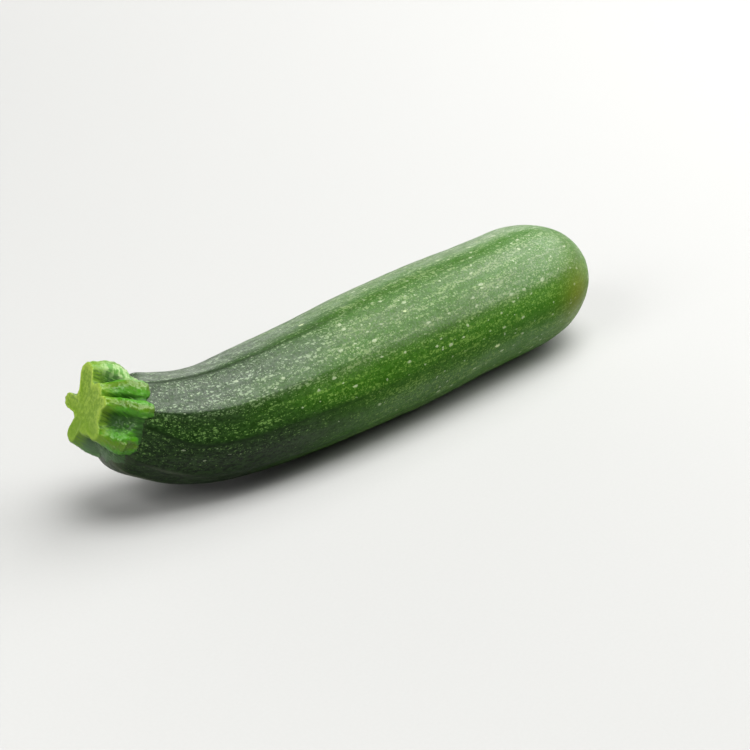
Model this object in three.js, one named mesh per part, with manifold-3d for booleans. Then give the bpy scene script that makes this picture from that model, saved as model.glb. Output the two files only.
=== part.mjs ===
// A whole zucchini (Cucurbita pepo) as picked: a long green fruit that is slim and ribbed at the stem end,
// thicker and rounder at the blossom end, with a stubby star-shaped stem cut straight across.
// It lies on its side on a small flat spot. Millimetres, +Z up, +X from the stem towards the blossom end,
// origin under the middle of the whole zucchini at the height it rests on.
import * as THREE from "three";
import { mergeVertices } from "three/addons/utils/BufferGeometryUtils.js";
import Module from "manifold-3d";

// The fruit's size, along its bent axis from the stem joint to the blossom tip.
const FRUIT_LENGTH = 222;
// Outline radius at a distance from the stem joint, both in millimetres.
const RADIUS_STATIONS = [
  [-3, 14.9],
  [0, 16.3],
  [13, 17.8],
  [31, 19.2],
  [61, 21.4],
  [110, 23.6],
  [164, 23.4],
  [201, 23.3],
  [222, 23.6],
];

// How the axis bends: it turns sideways in the neck, and the stem end rises off the table.
const NECK_HEADING = -20.4;
const BODY_HEADING = 5.6;
const BEND_AT = 31.7;
const BEND_SPAN = 22.9;
const STEM_RISE = 22.1;
const RISE_SPAN = 41;

// The rounded ends: how much of the length each one takes, and how blunt it is.
const BLOSSOM_CAP = 37.2;
const BLOSSOM_BLUNTNESS = 2.2;
const SHOULDER_CAP = 9;
const SHOULDER_START = -3;
const SHOULDER_BLUNTNESS = 2.75;

// The belly is pressed flat by this much where it lies on the table.
const REST_FLAT = 0.6;

// Ribs: the angle round the axis (0 at +Y, 90 on top) at the stem, past the neck and from the middle on,
// the strength, and how many degrees its crest is rounded over. They carry on from the ridges of the stem
// and fade towards the blossom end, and the skin between two of them is nearly flat.
const RIBS = [
  { angles: [30, 24, 24], strength: 0.7, rounding: 3 },
  { angles: [72, 58, 58], strength: 0.9, rounding: 2 },
  { angles: [106, 99, 99], strength: 1.0, rounding: 7 },
  { angles: [142, 143, 150], strength: 1.0, rounding: 1.5 },
  { angles: [157, 177, 177], strength: 0.85, rounding: 2 },
  { angles: [199, 217, 217], strength: 0.9, rounding: 2 },
  { angles: [224, 246, 246], strength: 1.0, rounding: 2 },
  { angles: [282, 285, 285], strength: 0.8, rounding: 2 },
  { angles: [318, 316, 316], strength: 0.6, rounding: 3 },
  { angles: [350, 352, 352], strength: 0.9, rounding: 2 },
];
const RIB_TURN_END = 25;
const RIB_DRIFT_START = 80;
const RIB_DRIFT_END = 140;
// Ribs that stand closer together than this have less of a hollow between them.
const RIB_GAP = 36;
const RIB_HEIGHT = 1.4;
const RIB_LEFT_AT_END = 0.25;
const RIB_FADE = 72;

// Slow unevenness of the skin: height, wavelength along the fruit, waves round it, phase.
const SWELLS = [
  [0.14, 150, 1, 0.4],
  [0.12, 83, 2, 2.1],
  [0.09, 47, 3, 4.0],
];

// The scar that the flower left: a shallow dish with a corky button in it.
const SCAR_RADIUS = 6;
const SCAR_DEPTH = 1.1;
const BUTTON_RADIUS = 2.6;
const BUTTON_HEIGHT = 0.9;

// The stem leans up from the joint to its cut face, which faces a little away from that lean.
const STEM_LENGTH = 11.3;
const STEM_HEADING = -20.6;
const STEM_PITCH = 31.5;
const CUT_HEADING = -8;
const CUT_PITCH = 20;

// Its ridges, at the cut face and at the toe on the fruit's shoulder: angle, reach from the axis, half-width;
// how much the ridge swells between the two, and how far along the fruit the toe ends.
const STEM_RIDGES = [
  { cut: [70, 15.3, 3.6], toe: [77, 17.0, 5.0], swell: 1.6, end: 3 },
  { cut: [117, 11.8, 2.4], toe: [113, 17.7, 3.4], swell: 0.3, end: 8.2 },
  { cut: [145, 13.0, 2.0], toe: [140, 18.1, 2.6], swell: 0.7, end: 9 },
  { cut: [203, 12.3, 2.9], toe: [183, 16.4, 4.3], swell: 0.3, end: 2.6 },
  { cut: [291, 12.3, 2.6], toe: [284, 13.6, 3.4], swell: 0.4, end: 3 },
  { cut: [360, 12.4, 2.5], toe: [354, 16.4, 3.6], swell: 0.6, end: 5 },
];
// The core between the ridges sits towards one side, and spreads out into a foot on the shoulder.
const STEM_CORE = 8.2;
const CORE_OFFSET = 2.2;
const FOOT_RADIUS = 14.2;
const FOOT_OFFSET = 2.4;
const OFFSET_AT = 140;
const FOOT_END = 6.8;
const TOE_LENGTH = 4;
const STEM_END = 8.6;
const RIDGE_BLEND = 12;
const CUT_EDGE = 0.8;
const CUT_DISH = 0.4;

// Neighbours keep this gap, because the meshes hold 32-bit numbers.
const GAP = 0.35;

// How finely the surfaces are divided.
const FRUIT_SIDES = 72;
const FRUIT_RINGS = 40;
const CAP_RINGS = 9;
const STEM_SIDES = 84;
const STEM_RINGS = 17;

const FRUIT_GREEN = 0x3c6330;
const STEM_GREEN = 0x7aa83c;

const radians = THREE.MathUtils.degToRad;
const clamp = THREE.MathUtils.clamp;

// Angle from one direction to another, between -180 and 180 degrees.
function angleBetween(angle, other) {
  return THREE.MathUtils.euclideanModulo(angle - other + 180, 360) - 180;
}

// The outline radius: a cubic through the stations, with each one's slope taken from its neighbours.
function outlineRadius(distance) {
  const stations = RADIUS_STATIONS;
  const last = stations.length - 2;
  let i = 0;
  while (i < last && distance > stations[i + 1][0]) i += 1;
  const [x0, r0] = stations[i];
  const [x1, r1] = stations[i + 1];
  const slope = (a, b) => (stations[b][1] - stations[a][1]) / (stations[b][0] - stations[a][0]);
  const slope0 = i > 0 ? slope(i - 1, i + 1) : slope(i, i + 1);
  const slope1 = i < last ? slope(i, i + 2) : slope(i, i + 1);
  const span = x1 - x0;
  const t = clamp((distance - x0) / span, 0, 1);
  const t2 = t * t;
  const t3 = t2 * t;
  return (
    (2 * t3 - 3 * t2 + 1) * r0 +
    (t3 - 2 * t2 + t) * span * slope0 +
    (3 * t2 - 2 * t3) * r1 +
    (t3 - t2) * span * slope1
  );
}

// The bent axis: a smooth turn in the heading, and a downward pitch that eases out along the neck.
function axisDirection(distance) {
  const turn = 0.5 * (1 + Math.tanh((distance - BEND_AT) / BEND_SPAN));
  const heading = radians(NECK_HEADING + (BODY_HEADING - NECK_HEADING) * turn);
  const pitch = radians(STEM_RISE * Math.max(0, 1 - distance / RISE_SPAN));
  return directionOf(heading, pitch);
}

// A direction that heads round from +X and pitches down, with the two directions across it.
function directionOf(heading, pitch) {
  const along = new THREE.Vector3(
    Math.cos(heading) * Math.cos(pitch),
    Math.sin(heading) * Math.cos(pitch),
    -Math.sin(pitch)
  );
  const left = new THREE.Vector3(-Math.sin(heading), Math.cos(heading), 0);
  const up = new THREE.Vector3().crossVectors(along, left);
  return { along, left, up };
}

// Points of the axis, one every STEP millimetres, added up from its direction, with the belly at rest height.
const STEP = 0.5;
const AXIS_START = SHOULDER_START;
const AXIS = [new THREE.Vector3(0, 0, 0)];
for (let d = AXIS_START + STEP / 2; d < FRUIT_LENGTH; d += STEP) {
  AXIS.push(AXIS[AXIS.length - 1].clone().addScaledVector(axisDirection(d).along, STEP));
}
const BELLY_RADIUS = Math.max(...RADIUS_STATIONS.map((station) => station[1]));
const AXIS_HEIGHT = BELLY_RADIUS - REST_FLAT - AXIS[AXIS.length - 1].z;
AXIS.forEach((point) => (point.z += AXIS_HEIGHT));

function axisPoint(distance) {
  const place = clamp((distance - AXIS_START) / STEP, 0, AXIS.length - 1);
  const i = Math.min(Math.floor(place), AXIS.length - 2);
  return AXIS[i].clone().lerp(AXIS[i + 1], place - i);
}

// A point at an angle and a radius round the axis, at a distance along it.
function roundAxis(distance, angle, radius) {
  const { left, up } = axisDirection(distance);
  return axisPoint(distance)
    .addScaledVector(left, radius * Math.cos(radians(angle)))
    .addScaledVector(up, radius * Math.sin(radians(angle)));
}

// Each rib's own angle at a distance along the fruit.
function ribAngles(distance) {
  const turned = THREE.MathUtils.smoothstep(distance, 0, RIB_TURN_END);
  const drifted = THREE.MathUtils.smoothstep(distance, RIB_DRIFT_START, RIB_DRIFT_END);
  return RIBS.map(({ angles: [near, past, far] }) => near + (past - near) * turned + (far - past) * drifted);
}

// How far the skin stands below the outline, as a share of the ribs' height: each rib's strength less 1 on
// its crest, and -1 halfway to the next. The fall is four times the product of the angles off both ribs,
// over the square of their sum, and each angle is softened next to its rib, so that the crest is round.
function ribRelief(distance, angle) {
  const angles = ribAngles(distance);
  const turnTo = (from, to) => THREE.MathUtils.euclideanModulo(to - from, 360);
  const k = angles.findIndex((from, i) => turnTo(from, angle) < turnTo(from, angles[(i + 1) % angles.length]));
  const following = (k + 1) % RIBS.length;
  const gap = turnTo(angles[k], angles[following]);
  const past = turnTo(angles[k], angle);
  const off = Math.hypot(past, RIBS[k].rounding) - RIBS[k].rounding;
  const offNext = Math.hypot(gap - past, RIBS[following].rounding) - RIBS[following].rounding;
  const crest = RIBS[k].strength + ((RIBS[following].strength - RIBS[k].strength) * past) / gap;
  return crest * (1 - (4 * off * offNext) / Math.max(gap, RIB_GAP) ** 2) - 1;
}

// How far the skin stands below the outline between the ribs, plus its slow unevenness.
function skinRelief(distance, angle) {
  const fade = Math.exp(-((Math.max(distance, 0) / RIB_FADE) ** 2));
  const height = RIB_LEFT_AT_END + (RIB_HEIGHT - RIB_LEFT_AT_END) * fade;
  let swell = 0;
  for (const [size, wave, lobes, phase] of SWELLS) {
    swell += size * Math.sin((2 * Math.PI * distance) / wave + lobes * radians(angle) + phase);
  }
  return height * ribRelief(distance, angle) + swell;
}

// The two rounded ends: 1 along the fruit, and falling to 0 at each tip.
function endRounding(distance) {
  const blossom = clamp((distance - (FRUIT_LENGTH - BLOSSOM_CAP)) / BLOSSOM_CAP, 0, 1);
  const shoulder = clamp(1 - (distance - SHOULDER_START) / SHOULDER_CAP, 0, 1);
  return (
    Math.sqrt(Math.max(0, 1 - blossom ** BLOSSOM_BLUNTNESS)) *
    Math.max(0, 1 - shoulder ** SHOULDER_BLUNTNESS) ** (1 / SHOULDER_BLUNTNESS)
  );
}

// How far the scar's floor lies below the blossom tip at a distance from its middle.
function scarDepth(fromMiddle) {
  const dish = SCAR_DEPTH * Math.exp(-((fromMiddle / SCAR_RADIUS) ** 4) * 2);
  const button = BUTTON_HEIGHT * Math.exp(-((fromMiddle / BUTTON_RADIUS) ** 4));
  return dish - button;
}

function fruitPoint(distance, angle) {
  const rounding = endRounding(distance);
  const radius = (outlineRadius(distance) + skinRelief(distance, angle)) * rounding;
  const point = roundAxis(distance, angle, radius);
  if (distance > FRUIT_LENGTH / 2) {
    point.addScaledVector(axisDirection(distance).along, -scarDepth(radius));
  }
  point.z = Math.max(point.z, 0);
  return point;
}

// Distances of the rings: close together on the rounded ends, so that each step turns by the same amount.
function fruitDistances() {
  const rings = [];
  for (let i = 1; i <= CAP_RINGS; i += 1) {
    rings.push(SHOULDER_START + SHOULDER_CAP * (1 - Math.cos((Math.PI / 2) * (i / CAP_RINGS))));
  }
  const from = SHOULDER_START + SHOULDER_CAP;
  const to = FRUIT_LENGTH - BLOSSOM_CAP;
  for (let i = 1; i < FRUIT_RINGS; i += 1) rings.push(from + ((to - from) * i) / FRUIT_RINGS);
  const blossomRings = 2 * CAP_RINGS;
  for (let i = 0; i < blossomRings; i += 1) {
    rings.push(to + BLOSSOM_CAP * Math.sin((Math.PI / 2) * (i / blossomRings)));
  }
  return rings;
}

// A closed skin: a tip, rings of points, and another tip, joined by triangles that face out.
function closedSkin(firstTip, rings, lastTip) {
  const sides = rings[0].length;
  const points = [firstTip, ...rings.flat(), lastTip];
  const corner = (ring, side) => 1 + ring * sides + (side % sides);
  const faces = [];
  for (let j = 0; j < sides; j += 1) faces.push(0, corner(0, j + 1), corner(0, j));
  for (let i = 0; i + 1 < rings.length; i += 1) {
    for (let j = 0; j < sides; j += 1) {
      const a = corner(i, j);
      const b = corner(i, j + 1);
      const c = corner(i + 1, j);
      const d = corner(i + 1, j + 1);
      faces.push(a, d, c, a, b, d);
    }
  }
  const end = rings.length - 1;
  for (let j = 0; j < sides; j += 1) faces.push(corner(end, j), corner(end, j + 1), points.length - 1);
  const geometry = new THREE.BufferGeometry().setFromPoints(points);
  geometry.setIndex(faces);
  geometry.computeVertexNormals();
  return geometry;
}

function ring(sides, place) {
  return Array.from({ length: sides }, (_, j) => place((360 * j) / sides));
}

function fruitGeometry() {
  const rings = fruitDistances().map((distance) =>
    ring(FRUIT_SIDES, (angle) => fruitPoint(distance, angle))
  );
  return closedSkin(fruitPoint(SHOULDER_START, 0), rings, fruitPoint(FRUIT_LENGTH, 0));
}

function mix(from, to, share) {
  return from + (to - from) * share;
}

// A point of the stem, at an angle and a radius round its own middle line: past the joint this is the
// fruit's axis, and before it a straight line up to the cut face, with the sections turning to face the cut.
function roundStem(distance, angle, radius) {
  if (distance >= 0) return roundAxis(distance, angle, radius);
  const share = THREE.MathUtils.smoothstep(-distance, 0, STEM_LENGTH);
  const joint = axisDirection(0).along;
  const heading = mix(Math.atan2(joint.y, joint.x), radians(CUT_HEADING), share);
  const pitch = mix(-Math.asin(joint.z), radians(CUT_PITCH), share);
  const { left, up } = directionOf(heading, pitch);
  return axisPoint(0)
    .addScaledVector(directionOf(radians(STEM_HEADING), radians(STEM_PITCH)).along, distance)
    .addScaledVector(left, radius * Math.cos(radians(angle)))
    .addScaledVector(up, radius * Math.sin(radians(angle)));
}

// A rounded end: 1 up to a length before the end, and falling to 0 at it like a quarter circle.
function roundedOff(distance, end, length) {
  return Math.sqrt(1 - clamp((distance - (end - length)) / length, 0, 1) ** 2);
}

// Outside of the stem: a core and round-ended ridges blended into one star, all spreading towards the toes.
function stemRadius(distance, angle) {
  const foot = THREE.MathUtils.smoothstep(distance, -8, 2.5);
  const offset = mix(CORE_OFFSET, FOOT_OFFSET, foot) * Math.cos(radians(angle - OFFSET_AT));
  const core = (mix(STEM_CORE, FOOT_RADIUS, foot) + offset) * roundedOff(distance, FOOT_END, TOE_LENGTH);
  let sum = core ** RIDGE_BLEND;
  const along = clamp(1 + distance / STEM_LENGTH, 0, 1);
  const spread = THREE.MathUtils.smoothstep(distance, -STEM_LENGTH, -1);
  for (const { cut, toe, swell, end } of STEM_RIDGES) {
    const off = Math.abs(radians(angleBetween(angle, mix(cut[0], toe[0], along))));
    if (off > Math.PI / 2) continue;
    const rounding = roundedOff(distance, end, TOE_LENGTH);
    const halfWidth = mix(cut[2], toe[2], spread) * (0.3 + 0.7 * rounding);
    const reach = mix(cut[1], toe[1], spread) + swell * Math.sin(Math.PI * along);
    const middle = Math.max(0, reach * rounding - halfWidth);
    const flank = halfWidth / Math.max(Math.sin(off), 1e-6);
    const onTip = flank * Math.cos(off) >= middle;
    const across = Math.min(halfWidth, middle * Math.sin(off));
    const tip = middle * Math.cos(off) + Math.sqrt(halfWidth ** 2 - across ** 2);
    sum += (onTip ? tip : flank) ** RIDGE_BLEND;
  }
  return sum ** (1 / RIDGE_BLEND);
}

function stemGeometry() {
  const rings = [];
  const stemRing = (distance, radiusAt) =>
    rings.push(ring(STEM_SIDES, (angle) => roundStem(distance, angle, radiusAt(angle))));
  const edgeRadius = (angle) => stemRadius(-STEM_LENGTH, angle);
  // The cut face, from its middle out to its rounded edge.
  for (const share of [0.35, 0.65, 0.86]) {
    const sink = CUT_DISH * (1 - share ** 2);
    stemRing(-STEM_LENGTH + sink, (angle) => share * (edgeRadius(angle) - CUT_EDGE));
  }
  for (const turn of [0, 30, 60]) {
    const inset = CUT_EDGE * (1 - Math.sin(radians(turn)));
    const sink = CUT_EDGE * (1 - Math.cos(radians(turn)));
    stemRing(-STEM_LENGTH + sink, (angle) => edgeRadius(angle) - inset);
  }
  const from = -STEM_LENGTH + CUT_EDGE;
  for (let i = 0; i <= STEM_RINGS; i += 1) {
    const distance = mix(from, STEM_END, i / STEM_RINGS);
    stemRing(distance, (angle) => stemRadius(distance, angle));
  }
  return closedSkin(roundStem(-STEM_LENGTH + CUT_DISH, 0, 0), rings, axisPoint(STEM_END));
}

// A geometry as a solid, and a solid as a geometry.
const wasm = await Module();
wasm.setup();

function solidOf(geometry) {
  const bare = new THREE.BufferGeometry();
  bare.setAttribute("position", geometry.getAttribute("position"));
  bare.setIndex(geometry.getIndex());
  const merged = mergeVertices(bare, 1e-4);
  return new wasm.Manifold(
    new wasm.Mesh({
      numProp: 3,
      vertProperties: new Float32Array(merged.getAttribute("position").array),
      triVerts: new Uint32Array(merged.getIndex().array),
    })
  );
}

function geometryOf(solid) {
  const mesh = solid.getMesh();
  const geometry = new THREE.BufferGeometry();
  geometry.setAttribute("position", new THREE.BufferAttribute(mesh.vertProperties, 3));
  geometry.setIndex(new THREE.BufferAttribute(mesh.triVerts, 1));
  geometry.computeVertexNormals();
  return geometry;
}

// The same skin moved out along its normals, to cut a neighbour clear of it.
function grown(geometry, distance) {
  const bigger = geometry.clone();
  const position = bigger.getAttribute("position");
  const normal = bigger.getAttribute("normal");
  for (let i = 0; i < position.count; i += 1) {
    position.setXYZ(
      i,
      position.getX(i) + distance * normal.getX(i),
      position.getY(i) + distance * normal.getY(i),
      position.getZ(i) + distance * normal.getZ(i)
    );
  }
  return bigger;
}

const fruitSkin = fruitGeometry();
const fruit = new THREE.Mesh(
  fruitSkin,
  new THREE.MeshStandardMaterial({ color: FRUIT_GREEN, roughness: 0.4, metalness: 0 })
);
fruit.name = "fruit";

// The stem's foot is hollowed to the shoulder that it sits on.
const stemSolid = solidOf(stemGeometry()).subtract(solidOf(grown(fruitSkin, GAP)));
const stem = new THREE.Mesh(
  geometryOf(stemSolid),
  new THREE.MeshStandardMaterial({ color: STEM_GREEN, roughness: 0.5, metalness: 0 })
);
stem.name = "stem";

// The whole is centred over the origin.
const zucchini = new THREE.Group();
zucchini.add(fruit, stem);
const middle = new THREE.Box3().setFromObject(zucchini).getCenter(new THREE.Vector3());
zucchini.position.set(-middle.x, -middle.y, 0);

export default zucchini;
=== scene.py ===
"""A whole zucchini as picked, lying on its side on a pale floor.

Shapes are worked out in millimetres, and put into the meshes in metres. +X runs from the stem
towards the blossom end and +Z is up. An angle round the fruit is 0 on the +Y side and 90 on top.
"""

import math

import bpy
import numpy as np
from mathutils import Matrix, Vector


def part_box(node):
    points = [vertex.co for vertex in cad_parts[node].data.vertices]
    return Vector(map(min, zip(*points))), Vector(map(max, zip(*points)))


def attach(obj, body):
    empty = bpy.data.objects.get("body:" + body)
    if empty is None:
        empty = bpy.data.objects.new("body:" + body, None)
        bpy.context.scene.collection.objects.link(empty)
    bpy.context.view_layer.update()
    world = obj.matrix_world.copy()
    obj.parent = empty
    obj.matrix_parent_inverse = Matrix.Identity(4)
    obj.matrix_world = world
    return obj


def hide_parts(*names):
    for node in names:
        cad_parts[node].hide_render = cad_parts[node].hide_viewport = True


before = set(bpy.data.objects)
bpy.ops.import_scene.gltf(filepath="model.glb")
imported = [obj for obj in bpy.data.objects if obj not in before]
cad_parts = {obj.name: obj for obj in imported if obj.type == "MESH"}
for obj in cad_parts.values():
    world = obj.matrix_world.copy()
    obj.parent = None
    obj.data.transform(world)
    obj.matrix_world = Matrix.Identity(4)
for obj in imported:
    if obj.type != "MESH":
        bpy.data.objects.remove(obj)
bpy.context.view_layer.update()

# The camera
# It stands on the stem's side of the fruit and looks a little down along it, far enough away that
# the blossom end looks hardly smaller than the neck.
MM = 0.001
CAMERA_AZIMUTH = -42.3
CAMERA_ELEVATION = 25.0
CAMERA_DISTANCE = 747.0
CAMERA_AIM = (-7.3, -16.4, 23.35)
SENSOR_WIDTH = 36.0
FOCAL_LENGTH = 105.55


def seen_from(aim, azimuth, elevation, distance):
    """Where a viewer of aim stands: azimuth 0 looks along +Y, and the elevation is up from level."""
    turn, lift = math.radians(azimuth), math.radians(elevation)
    back = (math.sin(turn) * math.cos(lift), -math.cos(turn) * math.cos(lift), math.sin(lift))
    return np.array(aim) + distance * np.array(back)


def stand(thing, place, aim):
    """Puts a camera or a lamp at a place in millimetres, looking at aim, with its X axis level."""
    back = np.array(place) - np.array(aim)
    back /= np.linalg.norm(back)
    right = np.cross((0.0, 0.0, 1.0), back)
    right /= np.linalg.norm(right)
    turned = np.eye(4)
    turned[:3, :3] = np.stack([right, np.cross(back, right), back], axis=1)
    turned[:3, 3] = np.array(place) * MM
    bpy.context.collection.objects.link(thing)
    thing.matrix_world = Matrix(turned.tolist())


camera = bpy.data.objects.new("camera", bpy.data.cameras.new("camera"))
camera.data.sensor_width = SENSOR_WIDTH
camera.data.lens = FOCAL_LENGTH
stand(camera, seen_from(CAMERA_AIM, CAMERA_AZIMUTH, CAMERA_ELEVATION, CAMERA_DISTANCE), CAMERA_AIM)
bpy.context.scene.camera = camera
# The photo has a little more contrast than a plain sRGB picture.
bpy.context.scene.view_settings.view_transform = "Standard"
bpy.context.scene.view_settings.look = "Medium High Contrast"

# The fruit
# A zucchini is a berry with a thin waxy rind over firm flesh. It swells out from its stem as it grows,
# so the neck is slim, bent and ribbed, and the ribs die out towards the rounder blossom end.
FRUIT_LENGTH = 222.0
RADIUS_AT = np.array([-3.0, 0.0, 13.0, 31.0, 61.0, 110.0, 164.0, 201.0, 222.0])
RADIUS = np.array([14.9, 16.3, 17.8, 19.2, 21.4, 23.6, 23.4, 23.3, 23.6])
NECK_HEADING, BODY_HEADING, BEND_AT, BEND_SPAN = -20.4, 5.6, 31.7, 22.9
STEM_RISE, RISE_SPAN = 22.1, 41.0
BLOSSOM_CAP, BLOSSOM_BLUNTNESS = 37.2, 2.2
SHOULDER_START, SHOULDER_CAP, SHOULDER_BLUNTNESS = -3.0, 9.0, 2.75
REST_FLAT = 0.6

# Each rib's angle at the stem, past the neck and from the middle on, its strength, how round its crest
# is in degrees, and how bare a line runs along it.
RIBS = [
    (30, 24, 24, 0.7, 3.0, 0.5),
    (72, 58, 58, 0.9, 2.0, 0.4),
    (106, 99, 99, 1.0, 7.0, 1.0),
    (142, 143, 150, 1.0, 1.5, 0.1),
    (157, 177, 177, 0.85, 2.0, 1.0),
    (199, 217, 217, 0.9, 2.0, 0.9),
    (224, 246, 246, 1.0, 2.0, 0.8),
    (282, 285, 285, 0.8, 2.0, 0.6),
    (318, 316, 316, 0.6, 3.0, 0.5),
    (350, 352, 352, 0.9, 2.0, 0.7),
]
RIB_TURN_END, RIB_DRIFT_START, RIB_DRIFT_END = 25.0, 80.0, 140.0
RIB_GAP, RIB_LINE_HALF_WIDTH, RIB_BAND_HALF_WIDTH = 36.0, 2.0, 13.0
RIB_HEIGHT, RIB_LEFT_AT_END, RIB_FADE = 1.4, 0.25, 72.0

# Slow unevenness of the skin: height, wavelength along the fruit, waves round it, and phase.
SWELLS = [(0.14, 150, 1, 0.4), (0.12, 83, 2, 2.1), (0.09, 47, 3, 4.0)]
# Fine unevenness that breaks up the reflections: height and wavelength.
RIPPLES = [(0.03, 15.0), (0.012, 6.0)]

SCAR_RADIUS, SCAR_DEPTH = 6.0, 1.1
BUTTON_RADIUS, BUTTON_HEIGHT = 2.6, 0.9

FRUIT_SIDES = 288
SHOULDER_RINGS, BODY_RINGS, BLOSSOM_RINGS = 30, 230, 70


def smoothstep(low, high, values):
    """0 below low, 1 above high, and three squares less two cubes of the share of the way between."""
    share = np.clip((values - low) / (high - low), 0, 1)
    return share * share * (3 - 2 * share)


def outline_radius(distance):
    """A cubic through the radius stations, with each station's slope taken from its neighbours."""
    slope = np.empty_like(RADIUS)
    slope[1:-1] = (RADIUS[2:] - RADIUS[:-2]) / (RADIUS_AT[2:] - RADIUS_AT[:-2])
    slope[[0, -1]] = (np.diff(RADIUS) / np.diff(RADIUS_AT))[[0, -1]]
    i = np.clip(np.searchsorted(RADIUS_AT, distance, side="right") - 1, 0, len(RADIUS) - 2)
    span = RADIUS_AT[i + 1] - RADIUS_AT[i]
    t = np.clip((distance - RADIUS_AT[i]) / span, 0, 1)
    from_here = (2 * t**3 - 3 * t**2 + 1) * RADIUS[i] + (t**3 - 2 * t**2 + t) * span * slope[i]
    to_next = (3 * t**2 - 2 * t**3) * RADIUS[i + 1] + (t**3 - t**2) * span * slope[i + 1]
    return from_here + to_next


def directions(heading, pitch):
    """Along, left and up, for a heading round from +X and a pitch down, both in degrees."""
    turn, fall = np.radians(heading), np.radians(pitch)
    along = np.stack([np.cos(turn) * np.cos(fall), np.sin(turn) * np.cos(fall), -np.sin(fall)], -1)
    left = np.stack([-np.sin(turn), np.cos(turn), np.zeros_like(turn)], -1)
    return along, left, np.cross(along, left)


def axis_directions(distance):
    """The heading turns from the neck's to the body's as a tanh, and the pitch fades evenly to level."""
    turn = 0.5 * (1 + np.tanh((distance - BEND_AT) / BEND_SPAN))
    heading = NECK_HEADING + (BODY_HEADING - NECK_HEADING) * turn
    return directions(heading, STEM_RISE * np.maximum(0, 1 - distance / RISE_SPAN))


# The bent axis is its direction added up from the stem, with the belly's height above the floor.
AXIS_STEP = 0.5
AXIS_AT = np.arange(SHOULDER_START, FRUIT_LENGTH + AXIS_STEP, AXIS_STEP)
AXIS = np.zeros((len(AXIS_AT), 3))
AXIS[1:] = np.cumsum(axis_directions(AXIS_AT[:-1] + AXIS_STEP / 2)[0] * AXIS_STEP, axis=0)
AXIS[:, 2] += RADIUS.max() - REST_FLAT - AXIS[-1, 2]


def circle_point(middle, left, up, angle, radius):
    """Middle plus the radius times the angle's cosine to the left and its sine upwards."""
    turn = np.radians(angle)
    return middle + (radius * np.cos(turn))[..., None] * left + (radius * np.sin(turn))[..., None] * up


def round_axis(distance, angle, radius):
    """A point at an angle and a radius round the bent axis."""
    middle = np.stack([np.interp(distance, AXIS_AT, AXIS[:, k]) for k in range(3)], -1)
    _, left, up = axis_directions(distance)
    return circle_point(middle, left, up, angle, radius)


def rib_angles(distance):
    """Each rib's own angle, which turns along the neck and drifts later, with one layer to a rib."""
    turned = smoothstep(0, RIB_TURN_END, distance)
    drifted = smoothstep(RIB_DRIFT_START, RIB_DRIFT_END, distance)
    return np.stack([rib[0] + (rib[1] - rib[0]) * turned + (rib[2] - rib[1]) * drifted for rib in RIBS])


def rib_relief(distance, angle):
    """Each rib's strength less 1 at its crest and -1 halfway to the next, where the side is nearly flat.

    The fall is four times the product of the angles off the ribs on both sides, over the square of
    their sum. Each angle is softened next to its rib, so that the crest is round, and ribs that stand
    close together have less of a fall between them."""
    angles = rib_angles(distance)
    relief = np.zeros_like(angle)
    for k in range(len(RIBS)):
        following = (k + 1) % len(RIBS)
        (strength, rounding), (next_strength, next_rounding) = RIBS[k][3:5], RIBS[following][3:5]
        gap = (angles[following] - angles[k]) % 360
        past = (angle - angles[k]) % 360
        off = np.hypot(past, rounding) - rounding
        next_off = np.hypot(gap - past, next_rounding) - next_rounding
        crest = strength + (next_strength - strength) * past / gap
        fallen = crest * (1 - 4 * off * next_off / np.maximum(gap, RIB_GAP) ** 2) - 1
        relief = np.where(past < gap, fallen, relief)
    return relief


def along_ribs(distance, angle, half_width):
    """A bell across each rib that is 1 on its crest, times how bare the rib is, all added up."""
    off = (angle - rib_angles(distance) + 180) % 360 - 180
    bells = np.tensordot([rib[5] for rib in RIBS], np.exp(-((off / half_width) ** 2)), 1)
    return np.minimum(bells, 1)


def rib_fade(distance):
    """A bell of the distance: 1 at the stem, and about a third at RIB_FADE."""
    return np.exp(-((np.maximum(distance, 0) / RIB_FADE) ** 2))


def ripple(points, size, wavelength, seed):
    """An even random unevenness: a sum of waves of about one length, each in a direction of its own."""
    draw = np.random.default_rng(seed)
    waves = 14
    ways = draw.normal(size=(waves, 3))
    ways /= np.linalg.norm(ways, axis=1)[:, None]
    ways *= 2 * math.pi / (wavelength * draw.uniform(0.7, 1.4, (waves, 1)))
    phases = draw.uniform(0, 2 * math.pi, waves)
    total = sum(np.sin(points @ way + phase) for way, phase in zip(ways, phases))
    return size * math.sqrt(2 / waves) * total


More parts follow.
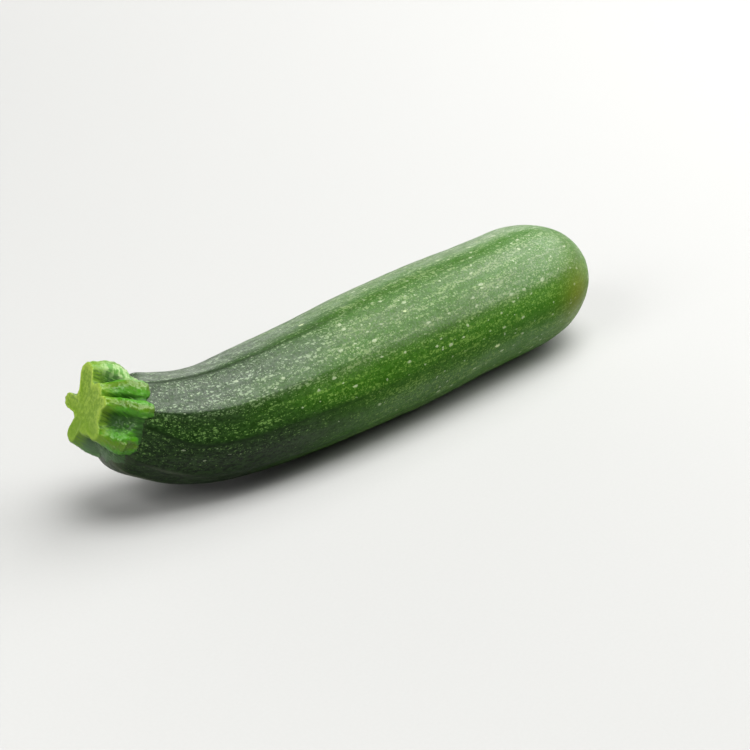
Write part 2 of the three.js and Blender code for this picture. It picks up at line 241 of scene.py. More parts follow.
def fruit_surface(distance, angle):
    """The outline radius, less the flat sides between the ribs, plus swells and ripples, with round ends.

    Each end falls off as a circle whose squares are raised to its bluntness. The blossom's scar is a
    dish with a button in it, and the belly is level where it lies on the floor. Gives the points and
    their distances from the axis."""
    height = RIB_LEFT_AT_END + (RIB_HEIGHT - RIB_LEFT_AT_END) * rib_fade(distance)
    relief = height * rib_relief(distance, angle)
    for size, wave, lobes, phase in SWELLS:
        relief += size * np.sin(2 * math.pi * distance / wave + lobes * np.radians(angle) + phase)
    smooth = round_axis(distance, angle, outline_radius(distance))
    for seed, (size, wavelength) in enumerate(RIPPLES):
        relief += ripple(smooth, size, wavelength, seed)
    blossom = np.clip((distance - (FRUIT_LENGTH - BLOSSOM_CAP)) / BLOSSOM_CAP, 0, 1)
    shoulder = np.clip(1 - (distance - SHOULDER_START) / SHOULDER_CAP, 0, 1)
    rounding = np.sqrt(1 - blossom**BLOSSOM_BLUNTNESS)
    rounding *= (1 - shoulder**SHOULDER_BLUNTNESS) ** (1 / SHOULDER_BLUNTNESS)
    radius = (outline_radius(distance) + relief) * rounding
    points = round_axis(distance, angle, radius)
    dish = SCAR_DEPTH * np.exp(-2 * (radius / SCAR_RADIUS) ** 4)
    button = BUTTON_HEIGHT * np.exp(-((radius / BUTTON_RADIUS) ** 4))
    sunk = np.where(distance > FRUIT_LENGTH / 2, dish - button, 0)
    points -= sunk[..., None] * axis_directions(distance)[0]
    points[..., 2] = np.maximum(points[..., 2], 0)
    return points, radius


def closed_skin(name, rings, first_tip, last_tip):
    """A mesh of a grid of rings of points, closed to a tip at each end, with its faces pointing out."""
    count, sides = rings.shape[:2]
    points = np.concatenate([rings.reshape(-1, 3), [first_tip, last_tip]]) * MM
    side = np.arange(sides)
    beside = (side + 1) % sides
    row = np.arange(count - 1)[:, None] * sides
    quads = np.stack([row + side, row + beside, row + beside + sides, row + side + sides], -1)
    first = np.stack([beside, side, np.full(sides, count * sides)], -1)
    end = (count - 1) * sides
    last = np.stack([end + side, end + beside, np.full(sides, count * sides + 1)], -1)
    mesh = bpy.data.meshes.new(name)
    mesh.from_pydata(points, [], quads.reshape(-1, 4).tolist() + first.tolist() + last.tolist())
    mesh.shade_smooth()
    piece = bpy.data.objects.new(name, mesh)
    bpy.context.collection.objects.link(piece)
    return piece


def note(piece, name, on_rings, on_tips):
    """Keeps a number or a vector at each vertex of a closed skin, for its material to read."""
    values = np.concatenate([on_rings.reshape(-1, *on_rings.shape[2:]), on_tips])
    vector = values.ndim == 2
    attribute = piece.data.attributes.new(name, "FLOAT_VECTOR" if vector else "FLOAT", "POINT")
    attribute.data.foreach_set("vector" if vector else "value", values.astype(np.float32).ravel())


def unbent(distance, angle, radius):
    """The place on the same fruit with its axis made straight, where a pattern follows the skin."""
    turn = np.radians(angle)
    return np.stack([distance, radius * np.cos(turn), radius * np.sin(turn)], -1)


shoulder_turn = np.linspace(0, math.pi / 2, SHOULDER_RINGS + 1)[1:]
blossom_turn = np.linspace(0, math.pi / 2, BLOSSOM_RINGS, endpoint=False)
body_from, body_to = SHOULDER_START + SHOULDER_CAP, FRUIT_LENGTH - BLOSSOM_CAP
fruit_distances = np.concatenate(
    [
        SHOULDER_START + SHOULDER_CAP * (1 - np.cos(shoulder_turn)),
        np.linspace(body_from, body_to, BODY_RINGS + 1)[1:-1],
        body_to + BLOSSOM_CAP * np.sin(blossom_turn),
    ]
)
fruit_angles = np.arange(FRUIT_SIDES) * 360 / FRUIT_SIDES
at, round_it = np.meshgrid(fruit_distances, fruit_angles, indexing="ij")
skin_points, skin_radii = fruit_surface(at, round_it)
tips_at = np.array([SHOULDER_START, FRUIT_LENGTH])
tip_points, tip_radii = fruit_surface(tips_at, np.zeros(2))

# The frame has its origin under the middle of the whole zucchini, and the fruit's node says where that is.
node_low, node_high = (np.array(corner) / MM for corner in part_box("fruit"))
CENTRED = (node_low + node_high - skin_points.min((0, 1)) - skin_points.max((0, 1))) / 2
CENTRED[2] = 0
fruit = closed_skin("zucchini_fruit", skin_points + CENTRED, *(tip_points + CENTRED))

# What the rind's material needs to know at each point of the skin.
BLUSH_AT, BLUSH_ANGLE, BLUSH_RADIUS = 200.0, 178.0, 12.0
blush_middle = unbent(np.array(BLUSH_AT), np.array(BLUSH_ANGLE), outline_radius(np.array(BLUSH_AT)))


def skin_notes(distance, angle, radius):
    """The unbent place, the bare line and the dark band along each rib, the blush, and the scar's radius."""
    place = unbent(distance, angle, radius)
    line = along_ribs(distance, angle, RIB_LINE_HALF_WIDTH) * rib_fade(distance)
    band = along_ribs(distance, angle, RIB_BAND_HALF_WIDTH)
    off_blush = np.linalg.norm(place - blush_middle, axis=-1)
    blush = np.exp(-((off_blush / BLUSH_RADIUS) ** 2))
    from_scar = np.where(distance > FRUIT_LENGTH / 2, radius, 2 * SCAR_RADIUS)
    return {"unbent": place, "rib_line": line, "rib_band": band, "blush": blush, "from_scar": from_scar}


tip_notes = skin_notes(tips_at, np.zeros(2), tip_radii)
for name, values in skin_notes(at, round_it, skin_radii).items():
    note(fruit, name, values, tip_notes[name])


def linear(colour):
    """An sRGB hex colour as linear red, green, blue and alpha."""
    parts = np.array([int(colour[i : i + 2], 16) for i in (1, 3, 5)]) / 255
    return (*np.where(parts <= 0.04045, parts / 12.92, ((parts + 0.055) / 1.055) ** 2.4).tolist(), 1.0)


def add(tree, kind, inputs=None, out=0, **settings):
    """Adds a node, gives its inputs a value or a link, and returns one of its outputs."""
    node = tree.nodes.new("ShaderNode" + kind)
    for name, value in settings.items():
        setattr(node, name, value)
    for name, value in (inputs or {}).items():
        if isinstance(value, bpy.types.NodeSocket):
            tree.links.new(value, node.inputs[name])
        else:
            node.inputs[name].default_value = value
    return node.outputs[out]


def blended(tree, share, first, second):
    """First turned into second by a share: colours are hex values or sockets."""
    first, second = (linear(c) if isinstance(c, str) else c for c in (first, second))
    return add(tree, "Mix", {0: share, 6: first, 7: second}, out=2, data_type="RGBA")


def ramp(tree, value, low, high, start=0.0, end=1.0):
    """Runs smoothly from start to end as a value goes from low to high."""
    inputs = {"Value": value, 1: low, 2: high, 3: start, 4: end}
    return add(tree, "MapRange", inputs, interpolation_type="SMOOTHSTEP")


def product(tree, first, second):
    """The first value times the second."""
    return add(tree, "Math", {0: first, 1: second}, operation="MULTIPLY")


def streaks(tree, place, across, length, detail=2.0):
    """Noise of about across millimetres wide, drawn out along the fruit to a length in millimetres."""
    scale = (1 / length, 1 / across, 1 / across)
    stretched = add(tree, "VectorMath", {0: place, 1: scale}, operation="MULTIPLY")
    return add(tree, "TexNoise", {"Vector": stretched, "Scale": 1.0, "Detail": detail})


SPOT_MIDDLE, LEAST_SPOT = 0.55, 0.001


def speckles(tree, place, spacing, stretch, sizes, shift, growth=1.0):
    """Spots at random places about spacing apart, drawn out by stretch, with radii between two sizes.

    Each cell of a Voronoi pattern has one spot, and the cell's random colour says how large it is.
    A spot is solid in its middle and fades out to its edge. Where the size comes out under zero the
    cell has no spot. All sizes are in millimetres."""
    scale = (1 / (spacing * stretch), 1 / spacing, 1 / spacing)
    moved = add(tree, "VectorMath", {0: place, 1: scale, 2: (shift,) * 3}, operation="MULTIPLY_ADD")
    distance = add(tree, "TexVoronoi", {"Vector": moved, "Scale": 1.0}, out="Distance")
    chance = add(tree, "SeparateColor", {0: distance.node.outputs["Color"]})
    smallest, largest = (size / spacing for size in sizes)
    drawn = add(tree, "MapRange", {"Value": chance, 3: smallest, 4: largest})
    size = add(tree, "Math", {0: product(tree, drawn, growth), 1: LEAST_SPOT}, operation="MAXIMUM")
    core = product(tree, size, SPOT_MIDDLE)
    return add(
        tree, "MapRange", {"Value": distance, 1: size, 2: core}, interpolation_type="SMOOTHSTEP"
    )


# Living zucchini rind under its own wax: nearly black green in the neck and leaf green at the blossom end,
# with pale breathing pores in dense fine flecks, dots and a few cream spots. The wax gives a satin gloss.
# On the upper side a thin grey veil is painted over the green as the wax's sheen, and the flecks there are
# painted paler for the same sheen. Under the neck the green is darker, as painted shade.
NECK_GREEN, BODY_GREEN, BLOSSOM_GREEN = "#172e0c", "#315a0b", "#3a6b0e"
# The neck's green darkened underneath, a painted shade.
SHADED_UNDER_NECK_GREEN = "#11200b"
NECK_BLOTCH, BODY_BLOTCH = "#3d5a2c", "#4f7d2c"
# The upper side's flecks, in the neck, body and blossom, are painted paler as sheen; the side flecks are the
# same flecks without it.
NECK_FLECK, BODY_FLECK, BLOSSOM_FLECK = "#6c8b50", "#8a9e6c", "#8fa474"
UPPER_NECK_FLECK, SIDE_FLECK = "#86997a", "#789a49"
NECK_DOT, BODY_DOT = "#afbd9c", "#c3cdac"
PORE_CREAM, LINE_GREEN, BLUSH_OLIVE = "#ced9a6", "#15290c", "#6f7418"
# A painted highlight for the rib crests under the neck, and a painted sheen of grey over the upper side.
CREST_HIGHLIGHT_GREY, PAINTED_SHEEN_GREY = "#6d7162", "#636f54"
SCAR_CORK, SCAR_CRACK = "#9a8b6b", "#574a35"
SHOULDER_GREY = "#4f5845"
RIND_IOR, WAX_COAT, WAX_ROUGHNESS = 1.42, 0.12, 0.28

# Where along the fruit one look gives way to the next, and how far that place wanders in the streaks.
NECK_TO_BODY, BODY_TO_BLOSSOM, WANDERING = (25, 95), (120, 205), 90.0
# The heights above the axis, in millimetres, between which the looks of the lower and upper sides meet.
UNDER_TO_UPPER, PLAIN_TO_SHEEN_PALED_FLECKS, BARE_TO_PAINTED_SHEEN, BARE_TO_SHINY = (-11, 6), (8, 13), (5, 14), (3, 12)
DULL_SIDE_LOW, DULL_SIDE_HIGH = (-8, 0), (13, 9)
# The share of the lit colour, the flecks and the wax's shine kept underneath; the rest is painted shade and
# less shine.
LEAST_LIT_AND_WAXED = 0.35

# The width across the fruit and the length along it of each kind of streak, in millimetres.
COLOUR_STREAKS, BLOTCHES, FLECK_ROWS = (14, 60), (0.8, 1.8), (1.5, 24)
PAINTED_SHEEN_STREAKS, SATIN_STREAKS = (5, 45), (2, 5)
BLOTCH_SHARE, ROW_GROWTH, NECK_GROWTH = 0.45, (0.55, 1.15), 0.85

# Spots: their spacing, their stretch along the fruit, the radii of the smallest and the largest, and a
# shift of the pattern. Where the smallest is under zero, some places stay empty.
FINE_FLECKS = (0.45, 1.7, (-0.02, 0.36), 7.3)
FLECKS = (0.8, 2.0, (-0.1, 0.6), 0.0)
DOTS = (2.0, 1.8, (-0.6, 0.75), 3.1)
PORES = (7.0, 2.6, (-2.4, 0.95), 5.7)
FINE_FLECK_SHARE, NECK_FLECK_SHARE, BODY_FLECK_SHARE, DOT_SHARE, PORE_SHARE = 0.6, 0.75, 0.6, 0.55, 0.85

# How strongly each tint lies over the green, where the rib crests under the neck carry a painted highlight,
# and where the shoulder turns grey.
BAND_SHARE, LINE_SHARE, BLUSH_SHARE, SHOULDER_SHARE = 0.15, 0.8, 0.7, 0.7
NECK_BAND, NECK_PAINTED_SHEEN, BODY_PAINTED_SHEEN, LEAST_PAINTED_SHEEN, BAND_PAINTED_SHEEN = 0.5, 0.15, 0.5, 0.4, 0.2
CREST_HIGHLIGHT_BELOW, CREST_HIGHLIGHT_ALONG, SHOULDER_ALONG = (-5, -11), (28, 8), (5, -1)

# The wax's shine in the neck and on the body, what it gains near the blossom, and what is left of it
# in the bands along the ribs and on the fruit's sides.
NECK_SHINE, BODY_SHINE, BLOSSOM_SHINE, BAND_SHINE, SIDE_SHINE = 0.6, 0.3, 0.42, 0.4, 0.45
SATIN_ROUGHNESS, CORK_ROUGHNESS, PIT_SHINE = (0.33, 0.5), 0.8, (0.7, 1.2)
CORK_EDGE, CORK_RAGGEDNESS = (6.4, 5.2), 3.0
PIT_DEPTH, PIT_STRENGTH, DOT_RISE = 0.09, 0.8, 0.5

rind = bpy.data.materials.new("waxy_zucchini_rind")
rind.use_nodes = True
skin = rind.node_tree
surface = skin.nodes["Principled BSDF"]
place = add(skin, "Attribute", out="Vector", attribute_name="unbent")
along = add(skin, "SeparateXYZ", {0: place})
rib_line, rib_band, blush, from_scar = (
    add(skin, "Attribute", out="Fac", attribute_name=name)
    for name in ("rib_line", "rib_band", "blush", "from_scar")
)

# The spots' outlines are ragged, so the place that they are drawn at is shaken by up to half a millimetre.
# Most of a noise lies between about 0.35 and 0.65, so the ramps on noises run between such values.
RAGGEDNESS = 1.2
shake = add(skin, "TexNoise", {"Vector": place, "Scale": 0.8, "Detail": 3.0, "Roughness": 0.65}, out="Color")
ragged = add(skin, "VectorMath", {0: shake, 1: (RAGGEDNESS,) * 3, 2: place}, operation="MULTIPLY_ADD")

# The colours change along the fruit, sooner or later in each streak, and a little from side to side.
slow = streaks(skin, place, *COLOUR_STREAKS)
late = add(skin, "Math", {0: slow, 1: WANDERING, 2: -WANDERING / 2}, operation="MULTIPLY_ADD")
reached = add(skin, "Math", {0: along, 1: late}, operation="ADD")
past_neck = ramp(skin, reached, *NECK_TO_BODY)
near_blossom = ramp(skin, reached, *BODY_TO_BLOSSOM)
height = add(skin, "SeparateXYZ", {0: place}, out="Z")
# Under the neck the green is darkened as painted shade, and its flecks and the wax's shine thin out there.
upper_side = ramp(skin, height, *UNDER_TO_UPPER, LEAST_LIT_AND_WAXED, 1.0)
lit_and_waxed = add(skin, "Math", {0: upper_side, 1: past_neck}, operation="MAXIMUM")
neck = blended(skin, ramp(skin, lit_and_waxed, LEAST_LIT_AND_WAXED, 1.0), SHADED_UNDER_NECK_GREEN, NECK_GREEN)
ground = blended(skin, past_neck, neck, BODY_GREEN)
ground = blended(skin, near_blossom, ground, BLOSSOM_GREEN)
blotches = ramp(skin, streaks(skin, ragged, *BLOTCHES, 3.0), 0.35, 0.65, 0.0, BLOTCH_SHARE)
ground = blended(skin, blotches, ground, blended(skin, past_neck, NECK_BLOTCH, BODY_BLOTCH))
# On the upper side the flecks are painted paler, as the wax's sheen.
side_fleck = blended(skin, past_neck, NECK_FLECK, SIDE_FLECK)
sheen_paled_fleck = blended(skin, past_neck, UPPER_NECK_FLECK, BODY_FLECK)
sheen_paled_fleck = blended(skin, near_blossom, sheen_paled_fleck, BLOSSOM_FLECK)
fleck = blended(skin, ramp(skin, height, *PLAIN_TO_SHEEN_PALED_FLECKS), side_fleck, sheen_paled_fleck)
dot = blended(skin, past_neck, NECK_DOT, BODY_DOT)

# Flecks crowd and thin out in rows along the fruit, and keep off the bare lines along the ribs.
# Under the neck they thin out further as part of its painted shade.
rows = streaks(skin, place, *FLECK_ROWS)
off_line = add(skin, "Math", {0: 1.0, 1: rib_line}, operation="SUBTRACT", use_clamp=True)
growth = product(skin, ramp(skin, rows, 0.36, 0.62, *ROW_GROWTH), off_line)
growth = product(skin, growth, ramp(skin, past_neck, 0, 1, NECK_GROWTH, 1.0))
growth = product(skin, growth, lit_and_waxed)
flecks = speckles(skin, ragged, *FLECKS, growth)
fine_flecks = speckles(skin, ragged, *FINE_FLECKS, growth)
dots = speckles(skin, ragged, *DOTS, growth)
pores = speckles(skin, ragged, *PORES, off_line)
colour = blended(skin, product(skin, fine_flecks, FINE_FLECK_SHARE), ground, fleck)
fleck_share = ramp(skin, past_neck, 0, 1, NECK_FLECK_SHARE, BODY_FLECK_SHARE)
colour = blended(skin, product(skin, flecks, fleck_share), colour, fleck)
colour = blended(skin, product(skin, dots, DOT_SHARE), colour, dot)
colour = blended(skin, product(skin, pores, PORE_SHARE), colour, PORE_CREAM)

# Darker green lies along the ribs, whose crests under the neck carry a painted grey highlight near the stem,
# and there is a yellow-brown tint near the blossom end on one side. Then comes a grey veil of painted sheen
# on the upper side, thicker in streaks.
rib_band = product(skin, rib_band, ramp(skin, past_neck, 0, 1, NECK_BAND, 1.0))
colour = blended(skin, product(skin, rib_band, BAND_SHARE), colour, NECK_GREEN)
painted_crest_highlight = product(skin, ramp(skin, height, *CREST_HIGHLIGHT_BELOW), ramp(skin, along, *CREST_HIGHLIGHT_ALONG))
line = blended(skin, painted_crest_highlight, LINE_GREEN, CREST_HIGHLIGHT_GREY)
colour = blended(skin, product(skin, rib_line, LINE_SHARE), colour, line)
colour = blended(skin, product(skin, blush, BLUSH_SHARE), colour, BLUSH_OLIVE)
pitted = add(skin, "TexNoise", {"Vector": place, "Scale": 1.3, "Detail": 3.0})
# The grey veil is a painted sheen: it lies on the upper side, thicker in streaks and thinner along the ribs.
painted_sheen = ramp(skin, height, *BARE_TO_PAINTED_SHEEN)
painted_sheen = product(skin, painted_sheen, ramp(skin, past_neck, 0, 1, NECK_PAINTED_SHEEN, BODY_PAINTED_SHEEN))
painted_sheen = product(skin, painted_sheen, ramp(skin, pitted, 0.38, 0.62, LEAST_PAINTED_SHEEN, 1.0))
painted_sheen = product(skin, painted_sheen, ramp(skin, streaks(skin, place, *PAINTED_SHEEN_STREAKS), 0.35, 0.6, LEAST_PAINTED_SHEEN, 1.0))
painted_sheen = product(skin, painted_sheen, ramp(skin, rib_band, 0, 1, 1.0, BAND_PAINTED_SHEEN))
colour = blended(skin, painted_sheen, colour, PAINTED_SHEEN_GREY)
by_stem = ramp(skin, along, *SHOULDER_ALONG)
colour = blended(skin, product(skin, by_stem, SHOULDER_SHARE), colour, SHOULDER_GREY)

# Where the flower fell off the rind is dry cork, cracked from its middle outwards.
cork_noise = add(skin, "TexNoise", {"Vector": place, "Scale": 0.9, "Detail": 3.0})
cork_edge = add(skin, "Math", {0: cork_noise, 1: CORK_RAGGEDNESS, 2: from_scar}, operation="MULTIPLY_ADD")
cork = ramp(skin, cork_edge, *CORK_EDGE)
cracks = ramp(skin, cork_noise, 0.42, 0.5)
colour = blended(skin, cork, colour, blended(skin, cracks, SCAR_CRACK, SCAR_CORK))
skin.links.new(colour, surface.inputs["Base Color"])

satin = ramp(skin, streaks(skin, place, *SATIN_STREAKS, 3.0), 0.3, 0.7, *SATIN_ROUGHNESS)
rough = add(skin, "Mix", {0: cork, 2: satin, 3: CORK_ROUGHNESS})
skin.links.new(rough, surface.inputs["Roughness"])
wax = ramp(skin, past_neck, 0, 1, NECK_SHINE, BODY_SHINE)
top_sheen = product(skin, product(skin, near_blossom, BLOSSOM_SHINE), ramp(skin, height, *BARE_TO_SHINY))
wax = add(skin, "Math", {0: wax, 1: top_sheen}, operation="ADD")
wax = product(skin, wax, ramp(skin, rib_band, 0, 1, 1.0, BAND_SHINE))
on_side = product(skin, ramp(skin, height, *DULL_SIDE_LOW), ramp(skin, height, *DULL_SIDE_HIGH))
wax = product(skin, wax, ramp(skin, on_side, 0, 1, 1.0, SIDE_SHINE))
wax = product(skin, wax, ramp(skin, pitted, 0.38, 0.62, *PIT_SHINE))
skin.links.new(product(skin, wax, lit_and_waxed), surface.inputs["Specular IOR Level"])
surface.inputs["IOR"].default_value = RIND_IOR
surface.inputs["Coat Weight"].default_value = WAX_COAT
surface.inputs["Coat Roughness"].default_value = WAX_ROUGHNESS

# The dots stand about 0.04 mm proud, and the whole rind is pitted by about as much between them.
raised = add(skin, "Math", {0: dots, 1: DOT_RISE, 2: pitted}, operation="MULTIPLY_ADD")
raised = add(skin, "Math", {0: cork, 1: cracks, 2: raised}, operation="MULTIPLY_ADD")
bump = add(skin, "Bump", {"Height": raised, "Distance": PIT_DEPTH * MM, "Strength": PIT_STRENGTH})
skin.links.new(bump, surface.inputs["Normal"])

fruit.data.materials.append(rind)
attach(fruit, "root")
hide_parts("fruit")

# The stem
# A short length of the fibrous stalk that the fruit hung from, cut straight across with a knife. Its
# ridges run out over the fruit's shoulder as toes, and it has grown together with the fruit.
STEM_LENGTH, STEM_HEADING, STEM_PITCH = 11.3, -20.6, 31.5
CUT_HEADING, CUT_PITCH = -8.0, 20.0

# Each ridge's angle, reach and half-width at the cut; the same at its toe; its swell and where it ends.
STEM_RIDGES = [
    ((70, 15.3, 3.6), (77, 17.0, 5.0), 1.6, 3.0),
    ((117, 11.8, 2.4), (113, 17.7, 3.4), 0.3, 8.2),
    ((145, 13.0, 2.0), (140, 18.1, 2.6), 0.7, 9.0),
    ((203, 12.3, 2.9), (183, 16.4, 4.3), 0.3, 2.6),
    ((291, 12.3, 2.6), (284, 13.6, 3.4), 0.4, 3.0),
    ((360, 12.4, 2.5), (354, 16.4, 3.6), 0.6, 5.0),
]
STEM_CORE, CORE_OFFSET, FOOT_RADIUS, FOOT_OFFSET, OFFSET_AT = 8.2, 2.2, 14.2, 2.4, 140.0
FOOT_END, TOE_LENGTH, STEM_END, RIDGE_BLEND = 6.8, 4.0, 8.6, 12
CUT_EDGE, CUT_DISH = 0.8, 0.4
# Where the foot and the ridges widen, a ridge's least share of its width, and how broad its crest looks.
FOOT_FROM, FOOT_FULL, SPREAD_FULL, NARROWEST, CREST_BREADTH = -8.0, 2.5, -1.0, 0.3, 0.9
NEARLY_NOTHING = 1e-6

# Fibres run along the stem, and wrinkles cross the toes: height, and size across and along.
FIBRES = [(0.11, 1.6, 10.0), (0.05, 0.8, 6.0)]
WRINKLE_HEIGHT, WRINKLE_ACROSS, WRINKLE_ALONG, WRINKLES_FROM, WRINKLES_FULL = 0.11, 4.0, 1.5, -10.0, -2.0
FIBRE_SEED, WRINKLE_SEED = 20, 30

STEM_SIDES, CUT_RINGS, EDGE_RINGS, FLANK_RINGS = 360, 26, 7, 110


def mixed(first, second, share):
    """First, plus a share of the way from it to second."""
    return first + (second - first) * share


def stem_middle(distance):
    """The fruit's axis past the joint, and before it a straight line up to the cut, with sections that
    turn from the joint's direction to the cut's. Gives the middle, and the left and up across it."""
    _, fruit_left, fruit_up = axis_directions(distance)
    on_axis = np.stack([np.interp(distance, AXIS_AT, AXIS[:, k]) for k in range(3)], -1)
    joint = np.array([np.interp(0, AXIS_AT, AXIS[:, k]) for k in range(3)])
    joint_heading = NECK_HEADING + (BODY_HEADING - NECK_HEADING) * 0.5 * (1 - math.tanh(BEND_AT / BEND_SPAN))
    share = smoothstep(0, STEM_LENGTH, -distance)
    heading = mixed(joint_heading, CUT_HEADING, share)
    _, left, up = directions(heading, mixed(STEM_RISE, CUT_PITCH, share))
    lean = directions(np.array(STEM_HEADING), np.array(STEM_PITCH))[0]
    before = (distance < 0)[..., None]
    middle = np.where(before, joint + distance[..., None] * lean, on_axis)
    return middle, np.where(before, left, fruit_left), np.where(before, up, fruit_up)


def rounded_off(distance, end, length):
    """1 up to a length before the end, and a quarter circle down to 0 at the end."""
    return np.sqrt(1 - np.clip((distance - (end - length)) / length, 0, 1) ** 2)


def stem_radius(distance, angle):
    """A core and round-ended ridges blended into one star: the twelfth root of the sum of the radii's
    twelfth powers. A ridge is a flat-sided bar with a half-round tip, seen from the middle. Gives the
    radius, and how far it is from the core (0) to the tip of the ridge (1)."""
    foot = smoothstep(FOOT_FROM, FOOT_FULL, distance)
    offset = mixed(CORE_OFFSET, FOOT_OFFSET, foot) * np.cos(np.radians(angle - OFFSET_AT))
    core = (mixed(STEM_CORE, FOOT_RADIUS, foot) + offset) * rounded_off(distance, FOOT_END, TOE_LENGTH)
    total = core**RIDGE_BLEND
    along = np.clip(1 + distance / STEM_LENGTH, 0, 1)
    spread = smoothstep(-STEM_LENGTH, SPREAD_FULL, distance)
    crest = np.zeros_like(total)
    for cut, toe, swell, end in STEM_RIDGES:
        off = np.abs(np.radians((angle - mixed(cut[0], toe[0], along) + 180) % 360 - 180))
        rounding = rounded_off(distance, end, TOE_LENGTH)
        half_width = mixed(cut[2], toe[2], spread) * mixed(NARROWEST, 1, rounding)
        reach = mixed(cut[1], toe[1], spread) + swell * np.sin(math.pi * along)
        middle = np.maximum(0, reach * rounding - half_width)
        flank = half_width / np.maximum(np.sin(off), NEARLY_NOTHING)
        across = np.minimum(half_width, middle * np.sin(off))
        tip = middle * np.cos(off) + np.sqrt(half_width**2 - across**2)
        bar = np.where(flank * np.cos(off) >= middle, tip, flank)
        total += np.where(off > math.pi / 2, 0, bar**RIDGE_BLEND)
        beside = np.exp(-((off * reach / half_width / CREST_BREADTH) ** 2))
        crest = np.maximum(crest, np.where(off > 1, 0, beside))
    return total ** (1 / RIDGE_BLEND), crest


def stem_surface(distance, angle):
    """The star's radius plus fibres along it and wrinkles across its toes, all as even random waves."""
    radius, crest = stem_radius(distance, angle)
    turn = np.radians(angle)
    relief = np.zeros_like(radius)
    for seed, (height, across, length) in enumerate(FIBRES):
        stretched = np.stack([distance * across / length, radius * np.cos(turn), radius * np.sin(turn)], -1)
        relief += ripple(stretched, height, across, FIBRE_SEED + seed)
    narrow = radius * WRINKLE_ALONG / WRINKLE_ACROSS
    squeezed = np.stack([distance, narrow * np.cos(turn), narrow * np.sin(turn)], -1)
    wrinkled = smoothstep(WRINKLES_FROM, WRINKLES_FULL, distance)
    relief += wrinkled * crest * ripple(squeezed, WRINKLE_HEIGHT, WRINKLE_ALONG, WRINKLE_SEED)
    return radius + relief, crest


# The rings go out over the cut face, round its edge, and down the flanks into the fruit.
stem_angles = np.arange(STEM_SIDES) * 360 / STEM_SIDES
edge_distance = np.full(STEM_SIDES, -STEM_LENGTH + CUT_EDGE)
edge_radius, edge_crest = stem_surface(edge_distance, stem_angles)
rings, crests, cuts, rims, distances = [], [], [], [], []
for share in np.linspace(0, 1, CUT_RINGS + 1)[1:]:
    rings.append(share * (edge_radius - CUT_EDGE))
    distances.append(np.full(STEM_SIDES, -STEM_LENGTH + CUT_DISH * (1 - share**2)))
    crests.append(edge_crest)
    cuts.append(np.ones(STEM_SIDES))
    rims.append((1 - share) * (edge_radius - CUT_EDGE))
for turn in np.linspace(0, math.pi / 2, EDGE_RINGS + 1)[1:-1]:
    rings.append(edge_radius - CUT_EDGE * (1 - math.sin(turn)))
    distances.append(np.full(STEM_SIDES, -STEM_LENGTH + CUT_EDGE * (1 - math.cos(turn))))
    crests.append(edge_crest)
    cuts.append(np.full(STEM_SIDES, 1 - turn / (math.pi / 2)))
    rims.append(np.zeros(STEM_SIDES))
for distance in np.linspace(-STEM_LENGTH + CUT_EDGE, STEM_END, FLANK_RINGS, endpoint=False):
    distances.append(np.full(STEM_SIDES, distance))
    radius, crest = stem_surface(distances[-1], stem_angles)
    rings.append(radius)
    crests.append(crest)
    cuts.append(np.zeros(STEM_SIDES))
    rims.append(distances[-1] + STEM_LENGTH - CUT_EDGE)
rings, crests, cuts, rims, distances = (
    np.array(values) for values in (rings, crests, cuts, rims, distances)
)
round_stem = np.broadcast_to(stem_angles, rings.shape)
stem_points = circle_point(*stem_middle(distances), round_stem, rings)
stem_tips_at = np.array([-STEM_LENGTH + CUT_DISH, STEM_END])
stem_tips = stem_middle(stem_tips_at)[0]
stem = closed_skin("zucchini_stem", stem_points + CENTRED, *(stem_tips + CENTRED))
note(stem, "unbent", unbent(distances, round_stem, rings), unbent(stem_tips_at, np.zeros(2), np.zeros(2)))
note(stem, "crest", crests, np.zeros(2))
note(stem, "cut", cuts, np.array([1.0, 0.0]))
note(stem, "from_rim", rims, np.array([STEM_CORE, STEM_LENGTH + STEM_END]))

# Green stalk with a fibrous skin: bright on its ridges, and deep green in its furrows, partly its own colour
# and partly painted shade. It is scuffed pale in streaks, the lobe on top carries painted pale glints, and
# the underside a painted grey reflection. Below, its foot takes the neck's dark green. The knife left a matt
# yellow-green face with moist fibres and a few browned spots at its rim; the face is painted paler above and
# darker below, as light and shade.
FURROW_GREEN_AND_SHADE, FLANK_GREEN, RIDGE_GREEN, SCUFF_AND_GLINT_GREEN = "#264f0e", "#48880c", "#58781a", "#b4c992"
CUT_GREEN, CUT_PALE, CUT_BROWN, UNDER_REFLECTION_GREEN = "#6d8f1f", "#9fb84a", "#a8792c", "#6c8068"
STALK_IOR, SAP_COAT, SAP_ROUGHNESS = 1.46, 0.15, 0.22
RIDGE_ROUGHNESS, FURROW_ROUGHNESS, CUT_ROUGHNESS = (0.28, 0.42), 0.6, 0.55

# The width across the stalk and the length along it of its streaks, and its brown spots like the rind's.
STALK_FIBRES, STALK_PATCHES, STALK_CREASES = (0.7, 8), (3, 6), (2.5, 1.0)
BROWN_SPOTS = (2.0, 1.0, (-0.9, 0.6), 2.2)
# Where each look begins and is full, in millimetres above the axis, to its left, past the joint with the
# fruit, and in from the cut's rim or down from it.
TOP_LOBE, NOT_ON_RIGHT, UNDERNEATH, GROWN_BELOW, PAINTED_LIGHT_UPWARDS = (12, 16), (-6, 0), (-3, -12), (0, -9), (-9, 6)
GROWN_PAST, CREASED_PAST = (-1.5, 4), (-9, -3)
BESIDE_CUT, PALE_RIM, BROWN_RIM = (4.5, 0.3), (2.2, 0.2), (1.2, 0.5)

